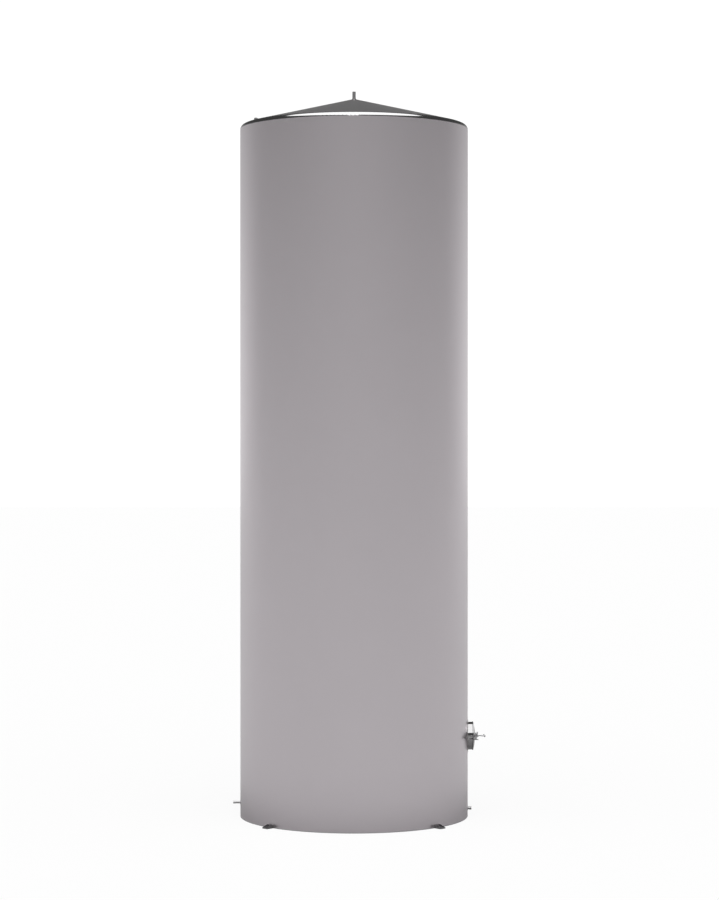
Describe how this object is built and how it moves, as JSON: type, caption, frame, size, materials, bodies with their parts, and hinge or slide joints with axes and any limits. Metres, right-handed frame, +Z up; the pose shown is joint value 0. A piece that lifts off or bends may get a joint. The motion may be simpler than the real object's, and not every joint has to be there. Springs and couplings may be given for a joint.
{
  "type": "insulated vertical hot-water tank",
  "caption": "Tall insulated upright tank with conical roof, vent stub, hinged side manway, low nozzles and anchor feet; an inner ring coil heats the stored water.",
  "frame": {"origin": "centre of the tank's base, on the floor", "axes": "+Z up along the tank's axis, front of the tank faces -Y, manway faces +X"},
  "size_m": [3.776, 3.55, 10.82],
  "materials": {
    "jacket_steel": "satin stainless cladding",
    "roof_steel": "satin stainless sheet, darker",
    "vessel_steel": "mill-finish stainless",
    "floor_steel": "mill-finish plate",
    "foam": "rigid polyurethane foam",
    "pipe_steel": "brushed pipe",
    "flange_steel": "turned faces",
    "bracket_steel": "ground welded plate",
    "polished_steel": "polished stainless",
    "pin_steel": "turned bar",
    "coil_steel": "pickled tube",
    "gasket_rubber": "moulded EPDM",
    "nut_steel": "turned stainless",
    "knob_plastic": "black moulded"
  },
  "bodies": {
    "tank": {"base_plate": "floor_steel", "base_insulation": "foam", "vessel_floor": "vessel_steel", "vessel_lower": "vessel_steel", "vessel_middle": "vessel_steel", "vessel_upper": "vessel_steel", "vessel_roof": "vessel_steel", "wall_insulation_lower": "foam", "wall_insulation_middle": "foam", "wall_insulation_upper": "foam", "roof_insulation": "foam", "jacket_lower": "jacket_steel", "jacket_middle": "jacket_steel", "jacket_upper": "jacket_steel", "roof_knuckle": "jacket_steel", "roof_cone": "roof_steel", "vent_pipe": "pipe_steel", "vent_collar": "pipe_steel", "lifting_lugs": "bracket_steel", "anchor_brackets": "bracket_steel", "manway_neck": "polished_steel", "manway_trim_ring": "jacket_steel", "hinge_fork": "bracket_steel", "latch_fork": "bracket_steel", "hinge_pin": "pin_steel", "side_outlet_pipe": "pipe_steel", "side_outlet_socket": "pipe_steel", "drain_sump": "vessel_steel", "drain_pipe": "pipe_steel", "drain_cap": "pipe_steel", "cold_inlet_pipe": "pipe_steel", "cold_inlet_flange": "flange_steel", "hot_outlet_pipe": "pipe_steel", "hot_outlet_flange": "flange_steel", "coil_flow_flange": "flange_steel", "coil_return_flange": "flange_steel", "thermowell": "pipe_steel", "heating_coil": "coil_steel", "coil_supports": "bracket_steel"},
    "cover": {"manway_gasket": "gasket_rubber", "manway_cover": "polished_steel"},
    "arm": {"strongback": "bracket_steel", "spindle_nut": "nut_steel"},
    "handle": {"spindle": "pin_steel", "spindle_hub": "pin_steel", "tommy_bar": "pin_steel", "tommy_knobs": "knob_plastic"},
    "latch": {"latch_pin": "pin_steel"}
  },
  "joints": [
    {"name": "arm_swing", "type": "hinge", "parent": "tank", "child": "arm", "pos_m": [1.806, 0.285, 1.188], "axis": [0, 0, 1], "range_deg": [0, 110]},
    {"name": "cover_lift", "type": "slide", "parent": "arm", "child": "cover", "axis": [1, 0, 0], "range_m": [0, 0.006]},
    {"name": "spindle_turn", "type": "hinge", "parent": "cover", "child": "handle", "pos_m": [1.95, 0, 1.188], "axis": [1, 0, 0], "range_deg": [0, 720]},
    {"name": "latch_drop", "type": "slide", "parent": "tank", "child": "latch", "axis": [0, 0, -1], "range_m": [0, 0.054]}
  ],
  "couplings": [
    {"joint": "cover_lift", "follows": "spindle_turn", "m_per_rad": 0.00047746}
  ]
}
